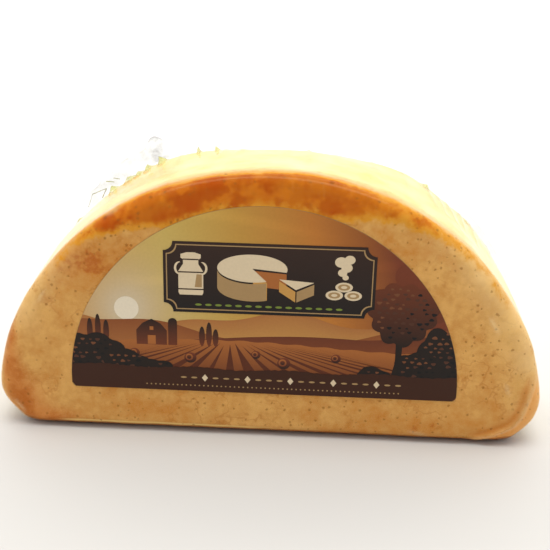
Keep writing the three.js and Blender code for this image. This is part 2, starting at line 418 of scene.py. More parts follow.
def specks(graph, cell, least, most, seed, wanted):
    """Soft dots of differing size, about one in each cell, kept where wanted is high."""
    wobble_size, wobble_reach = 0.6 * MM, 0.9 * MM
    inputs = {"Vector": graph.place, "Scale": 1 / wobble_size, "Detail": 1.0}
    wobble = graph.node("ShaderNodeTexNoise", inputs).outputs["Color"]
    inputs = {0: wobble, 1: (wobble_reach,) * 3, 2: graph.place}
    place = graph.node("ShaderNodeVectorMath", inputs, operation="MULTIPLY_ADD").outputs[0]
    inputs = {0: place, 1: (seed - wobble_reach / 2,) * 3}
    place = graph.node("ShaderNodeVectorMath", inputs, operation="ADD").outputs[0]
    cells = graph.node("ShaderNodeTexVoronoi", {"Vector": place, "Scale": 1 / (cell * MM)}, feature="F1")
    chance = graph.node("ShaderNodeSeparateColor", {"Color": cells.outputs["Color"]}).outputs
    radius = graph.range(chance[0], 0, 1, least / cell, most / cell)
    dot = graph.math("DIVIDE", cells.outputs["Distance"], radius)
    dot = graph.range(dot, 1.0, 0.45)
    kept = graph.range(graph.math("ADD", chance[1], wanted), 0.95, 1.05)
    return graph.math("MULTIPLY", dot, kept)


CREAM = seen(201, 154, 88)
TAN = seen(190, 140, 76)
ORANGE = seen(184, 124, 58)
DEEP_ORANGE = seen(181, 100, 22)
DEEPEST_ORANGE = seen(166, 72, 10)
GOLDEN = seen(197, 134, 32)
RUST = seen(168, 93, 36)
PALE_RUST = seen(188, 122, 62)
# Painted shade: the bottom edge and the underside near the face
UNDER_PAINTED_SHADE = seen(150, 84, 28)
# Painted light: the foot of the face, paler as if lit from the floor
FOOT_PAINTED_LIGHT = seen(212, 180, 112)
SIDE_CREAM = seen(229, 209, 160)
SIDE_GOLD = seen(224, 192, 120)
SPECK = seen(134, 80, 30)
RIM_SPECK = seen(120, 54, 10)
ORANGE_SPECK = seen(158, 88, 28)
BRIGHT_ORANGE = seen(200, 118, 26)
# Painted light over the fold's ridge and outer side
FOLD_LIT_ORANGE = seen(214, 146, 78)
# Painted shade in the fold's groove
FOLD_GROOVE_SHADE = seen(178, 104, 36)


def coated_cheese():
    """Mottled coat: cream to deep orange, with brown specks. The film over it gives the gloss."""
    g = Graph("coated_cheese")
    broad = g.noise(34, 3, 0.55, shift=0.3)
    blotch = g.range(g.noise(10, 5, 0.65, shift=0.9), 0.34, 0.68)
    fleck = g.range(g.noise(3.4, 4, 0.65, shift=0.5), 0.36, 0.66)
    streak = g.range(g.noise(2.4, 3, 0.6, shift=1.9, stretch=(1, 1, 0.3)), 0.56, 0.74)
    small = g.noise(3.2, 3, 0.6, shift=0.5)
    ragged = g.math("SUBTRACT", g.times(blotch, 0.5, g.times(fleck, 0.24)), 0.37)

    # The face, with thin veins, and the paler side
    orange = g.times(fleck, 0.24, g.times(blotch, 0.4, g.times(broad, 0.95, -0.42)))
    warm = g.times(g.field("warm"), 0.6, orange)
    base = g.ramp(warm, [(0.0, CREAM), (0.35, TAN), (0.75, ORANGE), (1.0, RUST)])
    vein = g.math("ABSOLUTE", g.math("SUBTRACT", g.noise(13, 3, 0.55, shift=4.7), 0.5))
    vein = g.times(g.range(vein, 0.022, 0.004), g.range(g.noise(30, 2, shift=3.9), 0.42, 0.62))
    base = g.tint(base, ORANGE_SPECK, vein, 0.34)
    side_mottle = g.range(g.noise(17, 4, 0.6, shift=5.3), 0.26, 0.74)
    base = g.tint(base, g.mix(side_mottle, SIDE_GOLD, SIDE_CREAM), g.field("side"), 0.86)

    # The orange rim, golden where it ends
    rim = g.times(ragged, 0.6, g.field("rim"))
    rim = g.times(g.range(rim, 0.05, 0.95), g.range(g.field("rim"), 0.02, 0.3))
    ember = g.range(g.noise(17, 4, 0.6, shift=2.9), 0.4, 0.66)
    deep = g.mix(ember, DEEP_ORANGE, DEEPEST_ORANGE)
    deep = g.tint(deep, BRIGHT_ORANGE, g.range(blotch, 0.5, 0.1), 0.5)
    deep = g.tint(deep, TAN, streak, 0.12)
    deep = g.tint(deep, RIM_SPECK, specks(g, 4.2, 0.5, 1.4, 0.71, 0.6), 0.62)
    base = g.tint(base, GOLDEN, g.range(rim, 0.0, 0.45), 0.85)
    base = g.tint(base, deep, g.range(rim, 0.34, 1.0))

    # The rust-coloured patches, the fold and the foot: painted shade and painted light on the coat
    # Painted shade: the lower left corner is painted darker and rust-coloured where it turns away from the
    # light
    corner_shade = g.times(ragged, 0.5, g.field("corner_shade"))
    corner_shade = g.times(g.range(corner_shade, 0.0, 1.1), g.range(g.field("corner_shade"), 0.02, 0.4))
    base = g.tint(base, g.mix(blotch, PALE_RUST, RUST), corner_shade, 0.92)
    # Painted shade in the groove on the fold's inner side
    base = g.tint(base, FOLD_GROOVE_SHADE, g.field("groove_shade"), 0.6)
    # Painted light: paler orange over the fold's ridge and outer side
    base = g.tint(base, FOLD_LIT_ORANGE, g.field("fold_light"), 0.6)
    # Painted light: the foot of the face is painted paler, as if lit from the floor
    base = g.tint(base, FOOT_PAINTED_LIGHT, g.range(g.field("foot"), 0.2, 0.8))
    # Painted shade: the bottom edge and the underside near the face are painted dark brown
    base = g.tint(base, UNDER_PAINTED_SHADE, g.field("under"))

    # Specks, fewer on the side
    speck_share = g.range(g.field("side"), 0, 1, 1.0, 0.35)
    wanted = g.range(g.noise(26, 2, shift=1.7), 0.35, 0.65, 0.3, 0.95)
    fine = specks(g, 2.7, 0.36, 0.86, 0.11, wanted)
    base = g.tint(base, SPECK, g.times(fine, speck_share), 0.62)
    wanted = g.range(g.noise(40, 2, shift=2.3), 0.35, 0.65, 0.2, 0.8)
    coarse = specks(g, 7.0, 0.8, 2.1, 0.37, wanted)
    base = g.tint(base, ORANGE_SPECK, g.times(coarse, speck_share), 0.4)
    grain = g.times(small, 0.8, g.noise(1.1, 3, 0.6, shift=3.1))
    return g.finish(
        Base_Color=base,
        Roughness=g.range(small, 0.3, 0.7, 0.5, 0.65),
        Specular_IOR_Level=0.05,
        Normal=g.bump(grain, 0.12, 0.6),
    )


def tight_film():
    """Clear film: a mirror whose share grows as it is seen from the side."""
    g = Graph("tight_film")
    mirror = g.times(g.math("POWER", g.slant(), 4.5), 0.85)
    alpha = g.math("ADD", mirror, g.times(g.field("crease"), 0.16, 0.007), clamp=True)
    return g.finish(
        Base_Color=linear(255, 230, 172) + (1,),
        Metallic=1.0,
        Roughness=g.range(g.noise(14, 2, shift=1.3), 0.3, 0.7, 0.06, 0.16),
        Alpha=alpha,
        Normal=g.bump(g.noise(5, 4, 0.6, shift=0.7), 0.25, 0.5),
    )


def pale_floor():
    g = Graph("pale_floor")
    tone = g.mix(g.noise(400, 2), linear(203, 200, 195) + (1,), linear(206, 204, 199) + (1,))
    # Painted light: the floor is painted paler from 0.2 m to 1.1 m behind the pack, standing in for
    # brighter light there
    backwards = g.node("ShaderNodeSeparateXYZ", {"Vector": g.place}).outputs["Y"]
    tone = g.mix(g.range(backwards, 0.2, 1.1), tone, linear(232, 230, 226) + (1,))
    return g.finish(Base_Color=tone, Roughness=0.6, Specular_IOR_Level=0.2)


# ---------------------------------------------------------------- the cheese


CHEESE_STEPS = {"arc": 330, "corner": 60, "flat": 110}
CHEESE_RINGS = (
    even("back", 34, start=0.04)
    + even("back_edge", 6)
    + even("side", 52)
    + even("front_edge", 16)
    + even("face", 58, end=0.46)
    + even("face", 9, start=0.46, end=0.96)
)

# The fold of film round the right corner, as x and z on the face
FOLD_PATH = [
    (86, 2.4), (92.4, 3.2), (101.4, 6.8), (106.8, 10),
    (110, 15), (112.3, 23.7), (113.9, 32.2), (114.2, 37),
]

# Soft patches of the face that are more orange than the rest, or paler: x, z, half width, half
# height in millimetres, and how strong
WARM_PATCHES = [
    (-77, 78, 13, 12, 0.75),
    (-58, 97, 7, 6, -0.7),
    (-50, 103, 12, 8, 0.5),
    (24, 103, 14, 4, -0.2),
    (66, 84, 10, 9, 0.35),
    (62, 78, 8, 6, -0.5),
    (103, 52, 12, 16, -0.45),
    (92, 36, 14, 22, -0.2),
    (100, 12, 12, 7, 0.6),
    (75, 9, 13, 6, 0.55),
    (46, 9, 11, 5, 0.5),
    (15, 10, 9, 4, 0.4),
    (-8, 12, 12, 6, -0.45),
    (-45, 9, 11, 4, 0.4),
    (-72, 8, 9, 5, -0.3),
    (-90, 42, 10, 14, -0.1),
    (-62, 12, 6, 4, 0.4),
]
# Painted shade round the lower left corner, rust-coloured: x, z, half width, half height in millimetres,
# and how strong
CORNER_SHADE_PATCHES = [
    (-112, 32, 5, 18, 1.0),
    (-115, 52, 5, 14, 0.6),
    (-106, 14, 11, 12, 1.0),
    (-96, 5, 15, 5, 0.85),
]


def patch_field(places, patches):
    """How strong the named patches of the face are at each place."""
    x, y, z = places.T
    total = np.zeros(len(places))
    for cx, cz, half_width, half_height, strength in patches:
        total += strength * bell(x - cx, half_width) * bell(z - cz, half_height)
    return total * ease(1 - (y - FRONT_Y - 4) / 14)


def round_the_face(x, z):
    """Degrees round the face's arc from the right, and the share of the way out to it."""
    across, up = x / (FACE_WIDTH / 2), (z - ARC_CENTRE_HEIGHT) / ARC_HEIGHT
    return np.degrees(np.arctan2(up, across)), np.hypot(across, up)


def rim_field(places):
    """The deep orange band along the top of the face, which fades over the curved side.

    The windows are in degrees round the face, and the other distances in millimetres.
    """
    x, y, z = places.T
    angle, radius = round_the_face(x, z)
    inwards = (1 - radius) * ARC_HEIGHT
    golden_ends = 0.6 + 0.4 * window(angle, 54, 22, 136, 24)
    strength = golden_ends * window(angle, 12, 48, 160, 34)
    top = window(angle, 50, 30, 135, 25)
    band = ease((8 + 13 * top - inwards) / (7 + 6 * top))
    return strength * band * ease(1 - (y - FRONT_Y - 1.2) / (8 - 4.6 * top))


def side_field(places):
    """The pale colour of the curved side, which also fades over the edges of the face."""
    x, y, z = places.T
    angle, radius = round_the_face(x, z)
    flanks = 0.38 * window(angle, -2, 8, 62, 20) + 0.26 * window(angle, 128, 16, 162, 10)
    on_face = flanks * ease((radius - 0.84) / 0.15)
    return np.maximum(ease((y - FRONT_Y - 3) / 12), on_face)


def cheese_relief(places):
    """The coat's unevenness, most of it broad and low, and less under the label."""
    x, y, z = places.T
    under_label = ease((np.hypot(x - LABEL_SHIFT, z - LABEL_LEVEL) - LABEL_WIDTH / 2) / 4 + 1)
    free = np.where((y < FRONT_Y + 1) & (z > LABEL_LEVEL - 2), under_label, 1)
    fine = 0.16 * lumps(places, 11, 1) + 0.07 * lumps(places, 4, 2)
    return unevenness(x, y, z) + fine * free * ease((z + 1) / 4)


def fold_distance(places):
    """How far each place lies from the fold, above 0 on its inner side, and the fold's strength."""
    knots = np.array(FOLD_PATH, float)
    lengths = np.concatenate([[0], np.cumsum(np.hypot(*np.diff(knots, axis=0).T))])
    steps = 60
    even_lengths = np.linspace(0, lengths[-1], steps)
    path = np.stack([smooth_through(lengths, knots[:, axis], even_lengths) for axis in (0, 1)], axis=1)
    ahead = np.gradient(path, axis=0)
    away, strength = np.full(len(places), 99.0), np.zeros(len(places))
    x, y, z = places.T
    close = (x > FOLD_PATH[0][0] - 15) & (z < FOLD_PATH[-1][1] + 15) & (y < FRONT_Y + 12)
    for k in np.flatnonzero(close):
        gaps = np.hypot(path[:, 0] - x[k], path[:, 1] - z[k])
        nearest = int(gaps.argmin())
        to_place = (x[k] - path[nearest, 0], z[k] - path[nearest, 1])
        inner = ahead[nearest, 0] * to_place[1] - ahead[nearest, 1] * to_place[0]
        away[k] = math.copysign(gaps[nearest], inner)
        strength[k] = min(nearest / 8, (steps - 1 - nearest) / 14, 1)
    return away, ease(strength)


def smooth_through(places, values, wanted):
    """A smooth curve through values at the given places."""
    slopes = np.gradient(values, places)
    after = np.clip(np.searchsorted(places, wanted), 1, len(places) - 1)
    start, end = places[after - 1], places[after]
    t = (wanted - start) / (end - start)
    span = end - start
    return (
        values[after - 1] * (1 + 2 * t) * (1 - t) ** 2
        + slopes[after - 1] * span * t * (1 - t) ** 2
        + values[after] * t**2 * (3 - 2 * t)
        - slopes[after] * span * t**2 * (1 - t)
    )


def fold_relief(away, strength):
    """A ridge of film with a groove on its inner side."""
    return FOLD_HEIGHT * strength * (bell(away, 0.75) - 0.45 * bell(away - 2.2, 1.2))


def surface_rings(p, rings, offset=0.0):
    """Every ring of the cheese's section, with its relief, at an offset from the surface."""
    both = [section(p, stretch, t) for stretch, t in rings]
    places = np.concatenate([places for places, _ in both])
    normals = np.concatenate([normals for _, normals in both])
    height = cheese_relief(places) + fold_relief(*fold_distance(places)) + offset
    return places + normals * height[:, None], normals


def cheese_outline(steps):
    return Outline(FACE_WIDTH, FACE_HEIGHT, ARC_CENTRE_HEIGHT, CORNER_RADIUS, steps)


def add_cheese():
    p = cheese_outline(CHEESE_STEPS)
    places, _ = surface_rings(p, CHEESE_RINGS)
    middle_back = (FACE_CENTRE[0], BACK_Y, FACE_CENTRE[1])
    middle_front = (FACE_CENTRE[0], FRONT_Y, FACE_CENTRE[1])
    places = np.concatenate([[middle_back], places, [middle_front]])
    faces = ring_faces(len(CHEESE_RINGS), p.count, True, True)
    x, y, z = places.T
    away, strength = fold_distance(places)
    fields = {
        "rim": rim_field(places),
        # painted shade at the lower left corner
        "corner_shade": patch_field(places, CORNER_SHADE_PATCHES),
        "warm": patch_field(places, WARM_PATCHES),
        "side": side_field(places),
        # painted light along the foot of the face
        "foot": ease((5.4 - z) / 1.8) * window(x, -98, 16, 30, 60) * (y < FRONT_Y + 1),
        # painted shade along the bottom edge and under it
        "under": ease((4.6 - z) / 1.4) * window(y, FRONT_Y + 0.3, 0.9, FRONT_Y + 16, 6),
        # painted shade in the fold's groove, and painted light over its ridge and outer side
        "groove_shade": strength * bell(away - 2.4, 1.7),
        "fold_light": strength * window(away, -9, 4, 1, 1.5),
    }
    piece = add_piece("cheese_wheel", places, faces, coated_cheese(), fields)
    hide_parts("cheese")


FILM_STEPS = {"arc": 320, "corner": 60, "flat": 110}
FILM_RINGS = (
    even("back_edge", 5)
    + even("side", 56)
    + even("front_edge", 24)
    + even("face", 50, end=0.46)
)
FILM_HEIGHT = 0.14  # of the tight film above the coat


def film_relief(p, rings):
    """Creases of the tight film: for each ring and point, millimetres above the cheese."""
    draw = random.Random(7)
    creases = [
        {
            "at": draw.uniform(0.12, math.pi - 0.12),
            "height": draw.uniform(0.25, 0.6),
            "width": draw.uniform(0.006, 0.011),
            "lean": draw.uniform(-0.05, 0.05),
            "reach": draw.uniform(0.35, 0.95),
        }
        for _ in range(30)
    ]
    angle = np.arctan2(p.z - ARC_CENTRE_HEIGHT, p.x)
    near_top = window(p.x, -54, 20, 58, 20) * (p.z > FACE_HEIGHT / 2)
    heights = []
    for stretch, t in rings:
        height = np.zeros(p.count)
        if stretch == "side":
            for crease in creases:
                away = angle - crease["at"] - crease["lean"] * t
                ridge = crease["height"] * bell(away, crease["width"])
                height += ridge * ease((crease["reach"] - t) / 0.3)
        if stretch == "front_edge":
            wander = 0.02 * np.sin(p.x / 13)
            for place, high in ((0.42, 0.10), (0.58, 0.16)):
                height += high * near_top * bell(t - place - wander, 0.05)
        heights.append(height)
    return np.concatenate(heights)


# Short wrinkles of the film on the face: x and z of both ends, and height, in millimetres
FACE_CREASES = [
    (-115, 8, -104, 1.5, 0.3),
    (-112, 14, -106, 6, 0.2),
    (91, 61, 97, 51, 0.28),
    (101, 31, 104, 23, 0.2),
    (-98, 58, -94, 66, 0.2),
    (60, 6, 72, 3.4, 0.22),
    (-69, 96, -61, 101, 0.22),
]
CREASE_HALF_WIDTH = 0.9


def face_creases(places):
    """How far the wrinkles raise the film at each place."""
    x, y, z = places.T
    raised = np.zeros(len(places))
    for start_x, start_z, end_x, end_z, height in FACE_CREASES:
        ahead = np.array([end_x - start_x, end_z - start_z])
        length = np.hypot(*ahead)
        along = ((x - start_x) * ahead[0] + (z - start_z) * ahead[1]) / length**2
        aside = ((x - start_x) * ahead[1] - (z - start_z) * ahead[0]) / length
        raised += height * bell(aside, CREASE_HALF_WIDTH) * window(along, 0, 0.4, 1, 0.4)
    return raised * (y < FRONT_Y + 12)


def add_tight_film():
    p = cheese_outline(FILM_STEPS)
    places, normals = surface_rings(p, FILM_RINGS, offset=FILM_HEIGHT)
    away, strength = fold_distance(places)
    relief = film_relief(p, FILM_RINGS)
    wrinkles = face_creases(places)
    places = places + normals * (relief + wrinkles)[:, None]
    faces = ring_faces(len(FILM_RINGS), p.count, False, False)
    gloss = np.clip(relief / 0.2, 0, 1) + 2 * strength * bell(away, 0.7) + wrinkles / 0.12
    piece = add_piece("film_skin", places, faces, tight_film(), {"crease": gloss})
    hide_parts("cheese")


# ---------------------------------------------------------------- the loose film at the back


def loose_film():
    """Two layers of clear film sealed together: faintly grey, and glossier at a slant."""
    g = Graph("loose_film")
    haze = g.range(g.noise(6, 3, 0.6, shift=0.2), 0.3, 0.75, 0.6, 1.3)
    glint = g.times(g.math("POWER", g.slant(), 4.0), 0.2)
    return g.finish(
        Base_Color=(0.16, 0.165, 0.17, 1),
        Roughness=g.range(g.noise(9, 2, shift=0.8), 0.3, 0.7, 0.07, 0.18),
        Specular_IOR_Level=0.6,
        Coat_Weight=0.6,
        Coat_Roughness=0.05,
        Alpha=g.math("MULTIPLY_ADD", g.field("haze"), haze, glint, clamp=True),
        Normal=g.bump(g.noise(3.5, 4, 0.6, shift=0.4), 0.3, 0.6),
    )


BACK_FILM_STEPS = {"arc": 420, "corner": 40, "flat": 90}
WEB_SHARES = [0.06 + 0.94 * (k / 44) ** 0.8 for k in range(45)]
RIM_SHARES = [(k + 1) / 12 for k in range(12)]
TONGUE = {"extra": 5, "at": 2.31, "spread": 0.05}  # a loose tip of film at the upper left
WEB_CLEARANCE = 0.35  # between the web and the back of the cheese
# How much each stretch of the film hides of what lies behind it
HAZE = {"web": 0.02, "rim": 0.04, "seal": 0.07, "right": 0.16, "tongue": 0.3, "crinkled": 0.26}


def add_back_film():
    """A web drawn on to the back of the cheese, and a wavy rim that stands out past its edge."""
    p = cheese_outline(BACK_FILM_STEPS)
    none = np.zeros(p.count)
    seam_y = BACK_Y + 2 * UNEVENNESS["back"] + GAP
    edge_x, edge_z = p.x + p.nx * swell(p.nz), p.z + p.nz * swell(p.nz)
    rows, haze = [], []
    for share in WEB_SHARES:
        x = lerp(FACE_CENTRE[0], edge_x, share)
        z = lerp(FACE_CENTRE[1], edge_z, share)
        inwards = (1 - share) * np.hypot(edge_x - FACE_CENTRE[0], edge_z - FACE_CENTRE[1])
        on_cheese = BACK_Y + unevenness(x, none + BACK_Y, z) + WEB_CLEARANCE
        y = lerp(seam_y, on_cheese, ease((inwards - 1.5) / 6))
        rows.append(np.stack([x, y, z], axis=1))
        haze.append(none + HAZE["web"])
    angle = np.arctan2(edge_z - FACE_CENTRE[1], edge_x)
    flare = bell(angle - RIM_FLARE["at"], RIM_FLARE["spread"])
    tongue = bell(angle - TONGUE["at"], TONGUE["spread"])
    crinkled = window(angle, 2.15, 0.2, 2.85, 0.2)
    right_strip = window(angle, 0.1, 0.2, 1.0, 0.3)
    rim_haze = HAZE["rim"] + HAZE["right"] * right_strip + HAZE["tongue"] * tongue
    rim_haze = rim_haze + HAZE["crinkled"] * crinkled
    ragged = lumps(np.stack([p.along, none, none], axis=1), 4.5, 5)
    width = RIM_WIDTH + RIM_FLARE["extra"] * flare + TONGUE["extra"] * tongue
    width = width + ragged * (0.25 + 1.3 * crinkled)
    room = np.where(p.nz < 0, (edge_z - GROUND_CLEARANCE) / np.maximum(-p.nz, 1e-6), np.inf)
    for share in RIM_SHARES:
        outwards = np.minimum(width * share, room)
        backwards = width * share - outwards
        across = np.stack([p.along, none + 7 * share, none], axis=1)
        wave = 0.8 * (1 + flare) * lumps(across, 9, 6) + 0.5 * crinkled * lumps(across, 2.6, 7)
        wave = wave + tongue * 2.5
        x = edge_x + p.nx * outwards
        z = np.maximum(edge_z + p.nz * outwards, GROUND_CLEARANCE)
        y = seam_y + backwards + wave * share * ease(p.nz / 0.3)
        rows.append(np.stack([x, y, z], axis=1))
        haze.append(rim_haze + HAZE["seal"] * (share > 0.9))
    middle = (FACE_CENTRE[0], BACK_Y + WEB_CLEARANCE, FACE_CENTRE[1])
    places = np.concatenate([[middle]] + rows)
    faces = ring_faces(len(rows), p.count, True, False)
    fields = {"haze": np.concatenate([[HAZE["web"]]] + haze)}
    piece = add_piece("film_back", places, faces, loose_film(), fields)
    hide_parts("back_film")


def gathered_film():
    """Film gathered into a pleat, with the coat's colour showing through its layers."""
    g = Graph("gathered_film")
    tint = g.mix(g.noise(2.2, 2, shift=0.6), (0.5, 0.49, 0.11, 1), (0.64, 0.63, 0.24, 1))
    tint = g.mix(g.field("fold"), tint, (0.36, 0.35, 0.12, 1))
    return g.finish(
        Base_Color=tint,
        Roughness=0.18,
        Specular_IOR_Level=0.4,
        Alpha=g.range(g.noise(1.8, 3, shift=0.1), 0.3, 0.7, 0.5, 0.85),
        Normal=g.bump(g.noise(1.2, 3, shift=0.9), 0.3, 0.7),
    )


# Pleats over the back edge: degrees round from the right, height and width in millimetres, and
# how far the crest leans along the edge
PLEATS = [
    (129, 2.4, 3.2, 0.8),
    (124.5, 1.6, 4.6, -0.6),
    (122, 1.3, 3.4, 0.5),
    (119.5, 2.2, 3.2, 0.9),
    (116, 3.6, 3.6, -0.8),
    (107.5, 3.4, 1.5, 0.5),
    (103.5, 2.7, 2.0, -0.4),
    (56, 1.8, 4.2, 0.6),
    (44, 0.8, 6.0, 0.4),
    (36, 0.7, 6.5, -0.4),
    (140, 1.2, 4.0, 0.5),
]
PLEAT_STATIONS = 12  # from a pleat's front to its back
PLEAT_ROOT = 1.2  # how deep a pleat's foot lies under the edge, in millimetres
FOLD_LINE = 0.42  # how wide the line of a free fold is
# Free folds further out: (degrees round, millimetres out from the edge) along each
FREE_FOLDS = [
    [(137.0, 1.6), (134.2, 4.8), (130.8, 2.6), (133.0, 0.3)],
    [(129.8, 5.4), (128.4, 2.8)],
    [(128.0, 4.6), (127.0, 2.4)],
]


def back_edge_at(degrees):
    """The top of the back edge, and the outward direction there, from the ellipse's angle."""
    t = math.radians(degrees)
    a = FACE_WIDTH / 2
    normal = Vector((math.cos(t) / a, math.sin(t) / ARC_HEIGHT)).normalized()
    edge = Vector((a * math.cos(t), ARC_CENTRE_HEIGHT + ARC_HEIGHT * math.sin(t)))
    return edge + normal * float(swell(normal.y)), normal


def add_pleats():
    points, faces = [], []
    draw = random.Random(3)
    for degrees, height, width, lean in PLEATS:
        edge, out = back_edge_at(degrees)
        along = Vector((out.y, -out.x))
        first = len(points)
        for k in range(PLEAT_STATIONS):
            share = k / (PLEAT_STATIONS - 1)
            y = lerp(BACK_Y - 10, BACK_Y + 0.6, share)
            crest = height * math.sin(math.pi * share**1.6)
            sway = lean * share + draw.uniform(-0.25, 0.25)
            ridge = [(-0.7, 0.12), (-0.3, 0.55), (sway / width, 0.9), (0.3, 0.6), (0.7, 0.16)]
            ridge = [(across, crest * up) for across, up in ridge]
            profile = [(-1.1, -PLEAT_ROOT), *ridge, (1.1, -PLEAT_ROOT)]
            for across, rise in profile:
                place = edge + along * across * width * (0.5 + 0.5 * share) + out * rise
                points.append((place.x, y, place.y))
        faces += grid_faces(PLEAT_STATIONS, len(profile), first)
    pleat_points = len(points)
    for fold in FREE_FOLDS:
        edges = [(back_edge_at(degrees), away) for degrees, away in fold]
        corners = [edge + out * away for (edge, out), away in edges]
        for start, end in zip(corners[:-1], corners[1:]):
            first = len(points)
            across = (end - start).orthogonal().normalized() * FOLD_LINE / 2
            for k in range(5):
                middle = start.lerp(end, k / 4) + across * draw.uniform(-0.4, 0.4)
                for side in (-1, 1):
                    place = middle + across * side
                    points.append((place.x, BACK_Y + 1.4 + 0.3 * side, place.y))
            faces += grid_faces(5, 2, first)
    fields = {"fold": np.arange(len(points)) >= pleat_points}
    piece = add_piece("film_pleats", points, faces, gathered_film(), fields)
    piece.visible_shadow = False
    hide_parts("back_film")


# ---------------------------------------------------------------- the label


PRINT_EDGE = 0.1  # the print stops this far inside the label's edge
PRINT_HALF_WIDTH = LABEL_WIDTH / 2 - PRINT_EDGE
PRINT_ARC_HEIGHT = LABEL_HEIGHT - LABEL_ARC_CENTRE_HEIGHT - PRINT_EDGE
SHEET_FRONT_Y = FRONT_Y - GAP - 0.05
LAYER = 0.012  # between one layer of print and the next
GLOSS_LIGHT = 0.012  # how much light the gloss adds to the print

OLIVE = (178, 152, 82)
GOLD = (170, 129, 62)
AMBER = (166, 106, 50)
SUNSET = (176, 132, 72)
GLOW = (186, 172, 148)
SUN = (206, 194, 172)
FAR_HILL = (152, 100, 58)
MIDDLE_HILL = (124, 72, 43)
NEAR_HILL = (98, 54, 38)
MAROON = (106, 56, 40)
FIELD_LIGHT = (150, 92, 50)
FIELD_DARK = (98, 54, 36)
FURROW = (84, 47, 34)
BAND = (60, 39, 31)
SHADE = (41, 35, 32)
LEAF_LIT = (104, 66, 46)
LEAF_DULL = (76, 50, 40)
LEAF_DARK = (32, 30, 30)
PLAQUE_TOP = (54, 41, 36)
CHARCOAL = (37, 34, 33)
PRINT_CREAM = (196, 178, 148)
PRINT_TAN = (150, 122, 84)
OLIVE_GREEN = (106, 120, 54)


def ink(colour):
    """The surface colour that looks like this sRGB colour on the label, under its gloss."""
    lit = (max(channel - GLOSS_LIGHT, 0.002) / FACE_LIGHT for channel in linear(*colour))
    return np.array([min(channel, 1) for channel in lit])


def label_top(u):
    """The height of the label's edge, from its straight side, at a distance from the middle."""
    share = np.clip(np.abs(u) / PRINT_HALF_WIDTH, 0, 1)
    return LABEL_ARC_CENTRE_HEIGHT + PRINT_ARC_HEIGHT * np.sqrt(1 - share**2)


def label_foot(u):
    """The height where the print starts, which is the straight side but for two round corners."""
    into_corner = np.abs(u) - (PRINT_HALF_WIDTH - LABEL_CORNER_RADIUS)
    share = np.clip(into_corner / LABEL_CORNER_RADIUS, 0, 1)
    return PRINT_EDGE + LABEL_CORNER_RADIUS * (1 - np.sqrt(1 - share**2))


def within_label(points):
    """The points, with those outside the label drawn in to its edge."""
    u, v = np.asarray(points, float).T
    above = v - LABEL_ARC_CENTRE_HEIGHT
    reach = np.hypot(u / PRINT_HALF_WIDTH, np.maximum(above, 0) / PRINT_ARC_HEIGHT)
    reach = np.maximum(reach, 1)
    u, v = u / reach, LABEL_ARC_CENTRE_HEIGHT + above / reach
    return np.stack([u, np.maximum(v, label_foot(u))], axis=1)


class Print:
    """Flat shapes in coloured ink. u runs along the label's straight side and v up from it."""

    def __init__(self):
        self.points, self.faces, self.inks = [], [], []

    def add(self, points, faces, inks, layer):
        first = len(self.points)
        y = SHEET_FRONT_Y - LAYER * (layer + 1)
        self.points += [(u + LABEL_SHIFT, y, v + LABEL_LEVEL) for u, v in within_label(points)]
        self.faces += [tuple(first + k for k in face) for face in faces]
        self.inks += [tuple(tone) for tone in inks]

    def area(self, outline, layer, upper, lower=None, at=(0, 0)):
        """A filled outline at a place, shaded from one colour at its top to another at its foot."""
        points = np.array(outline, float) + at
        faces = []
        for a, b, c in tessellate_polygon([[Vector((u, v, 0)) for u, v in points]]):
            (au, av), (bu, bv), (cu, cv) = points[a], points[b], points[c]
            faces.append((a, b, c) if (bu - au) * (cv - av) > (cu - au) * (bv - av) else (a, c, b))
        low, high = points[:, 1].min(), points[:, 1].max()
        share = ((points[:, 1] - low) / (high - low))[:, None]
        self.add(points, faces, lerp(ink(lower or upper), ink(upper), share), layer)

    def strip(self, one_side, other_side, layer, colour):
        """A ribbon between two rows of points, anticlockwise along one and back by the other."""
        points = np.concatenate([one_side, other_side])
        self.add(points, grid_faces(2, len(one_side)), [ink(colour)] * len(points), layer)

    def stroke(self, path, width, layer, colour):
        """A line of ink with pointed ends, along a smooth path."""
        path = np.array(path, float)
        ahead = np.gradient(path, axis=0)
        ahead /= np.hypot(*ahead.T)[:, None]
        across = np.stack([-ahead[:, 1], ahead[:, 0]], axis=1)
        share = np.linspace(0, 1, len(path))
        half = (width / 2 * np.sqrt(np.clip(4 * share * (1 - share), 0.02, 1)))[:, None]
        self.strip(path - across * half, path + across * half, layer, colour)

    def land(self, low, high, layer, upper, lower, steps=110):
        """Ground between two profiles, which are functions of u, shaded from top to foot."""
        u = np.linspace(-PRINT_HALF_WIDTH, PRINT_HALF_WIDTH, steps)
        shares = (0, 0.5, 1)
        rows = [np.stack([u, lerp(low(u), high(u), share)], axis=1) for share in shares]
        inks = [lerp(ink(lower), ink(upper), share) for share in shares for _ in range(steps)]
        self.add(np.concatenate(rows), grid_faces(len(shares), steps), inks, layer)


def oval(u, v, half_width, half_height, steps=28, start=0.0, end=2 * math.pi, reach=1.0):
    """An oval, or a stretch of one. The reach scales it, at every point alike or by a row."""
    angles = np.linspace(start, end, steps, endpoint=end - start < 6.2)
    across, up = half_width * reach * np.cos(angles), half_height * reach * np.sin(angles)
    return np.stack([u + across, v + up], axis=1)


def bumpy(u, v, half_width, half_height, bumps, depth, turn=0.0):
    """The outline of a treetop or a bush: an oval with round bumps."""
    angles = np.linspace(0, 2 * math.pi, bumps * 8, endpoint=False)
    swing = np.abs(np.sin(angles * bumps / 2 + turn)) + 0.5 * np.sin(3 * angles + turn)
    return oval(u, v, half_width, half_height, bumps * 8, reach=1 + depth * (swing - 0.6))


def diamond(u, v, half_width, half_height):
    return oval(u, v, half_width, half_height, 4)


def box(left, low, right, high):
    return [(left, low), (right, low), (right, high), (left, high)]


SUN_PLACE = (-58, 37)
SKY_STOPS = {-83: SUNSET, -34: OLIVE, -2: GOLD, 28: AMBER, 60: MAROON}  # u, and the colour there


